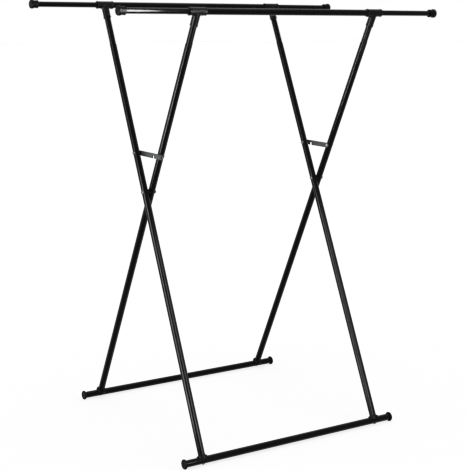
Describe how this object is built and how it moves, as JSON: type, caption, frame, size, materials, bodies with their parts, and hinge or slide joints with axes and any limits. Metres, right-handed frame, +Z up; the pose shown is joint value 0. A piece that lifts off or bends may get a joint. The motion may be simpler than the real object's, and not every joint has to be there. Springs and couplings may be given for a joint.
{
  "type": "folding clothes rack",
  "caption": "Folding clothes rack: crossed tube frames on a pivot, hooked latch bars, foot bars with end caps and high hanging rails with pull-out end rods.",
  "frame": {"origin": "floor level below the pivot axis, at the middle of the rack", "axes": "+X along the bars, +Y from frame A's foot bar to frame B's foot bar, +Z up"},
  "size_m": [1.349, 0.819, 1.5213],
  "materials": {
    "black_paint": "gloss black",
    "black_plastic": "satin black",
    "zinc": "zinc plated"
  },
  "bodies": {
    "frame_a": {"foot_bar_a": "black_paint", "leg_plugs_a": "black_plastic", "foot_bolts_a": "zinc", "top_rail_a": "black_paint", "tee_screws_a": "black_paint", "pivot_washers_a": "black_plastic", "foot_cap_a_left": "black_plastic", "foot_saddle_a_left": "black_plastic", "leg_a_left": "black_paint", "tee_a_left": "black_plastic", "foot_cap_a_right": "black_plastic", "foot_saddle_a_right": "black_plastic", "leg_a_right": "black_paint", "tee_a_right": "black_plastic", "pivot_bolts": "zinc", "pivot_nuts": "zinc", "latch_rivet_left": "zinc", "latch_washer_left": "black_plastic", "catch_pin_right": "zinc"},
    "frame_b": {"foot_bar_b": "black_paint", "leg_plugs_b": "black_plastic", "foot_bolts_b": "zinc", "top_rail_b": "black_paint", "tee_screws_b": "black_paint", "pivot_washers_b": "black_plastic", "foot_cap_b_left": "black_plastic", "foot_saddle_b_left": "black_plastic", "leg_b_left": "black_paint", "tee_b_left": "black_plastic", "foot_cap_b_right": "black_plastic", "foot_saddle_b_right": "black_plastic", "leg_b_right": "black_paint", "tee_b_right": "black_plastic", "catch_pin_left": "zinc", "latch_rivet_right": "zinc", "latch_washer_right": "black_plastic"},
    "end_rod_a_left": {"rod_a_left": "black_paint", "rod_guide_a_left": "black_plastic", "rod_cap_a_left": "black_plastic"},
    "end_rod_a_right": {"rod_a_right": "black_paint", "rod_guide_a_right": "black_plastic", "rod_cap_a_right": "black_plastic"},
    "end_rod_b_left": {"rod_b_left": "black_paint", "rod_guide_b_left": "black_plastic", "rod_cap_b_left": "black_plastic"},
    "end_rod_b_right": {"rod_b_right": "black_paint", "rod_guide_b_right": "black_plastic", "rod_cap_b_right": "black_plastic"},
    "latch_left": {"latch_bar_left": "zinc"},
    "latch_right": {"latch_bar_right": "zinc"}
  },
  "joints": [
    {"name": "fold", "type": "hinge", "parent": "frame_a", "child": "frame_b", "pos_m": [0, 0, 0.85927], "axis": [1, 0, 0], "range_deg": [-44, 0]},
    {"name": "slide_a_left", "type": "slide", "parent": "frame_a", "child": "end_rod_a_left", "axis": [-1, 0, 0], "range_m": [-0.231, 0]},
    {"name": "slide_a_right", "type": "slide", "parent": "frame_a", "child": "end_rod_a_right", "axis": [1, 0, 0], "range_m": [-0.231, 0]},
    {"name": "slide_b_left", "type": "slide", "parent": "frame_b", "child": "end_rod_b_left", "axis": [-1, 0, 0], "range_m": [-0.231, 0]},
    {"name": "slide_b_right", "type": "slide", "parent": "frame_b", "child": "end_rod_b_right", "axis": [1, 0, 0], "range_m": [-0.231, 0]},
    {"name": "latch_lift_left", "type": "hinge", "parent": "frame_a", "child": "latch_left", "pos_m": [-0.3695, 0.06128, 0.99069], "axis": [1, 0, 0], "range_deg": [-110, 0]},
    {"name": "latch_lift_right", "type": "hinge", "parent": "frame_b", "child": "latch_right", "pos_m": [0.3695, -0.06128, 0.99069], "axis": [1, 0, 0], "range_deg": [0, 110]}
  ],
  "couplings": [
    {"joint": "latch_lift_left", "follows": "fold", "ratio": 2.5},
    {"joint": "latch_lift_right", "follows": "fold", "ratio": -2.5}
  ]
}
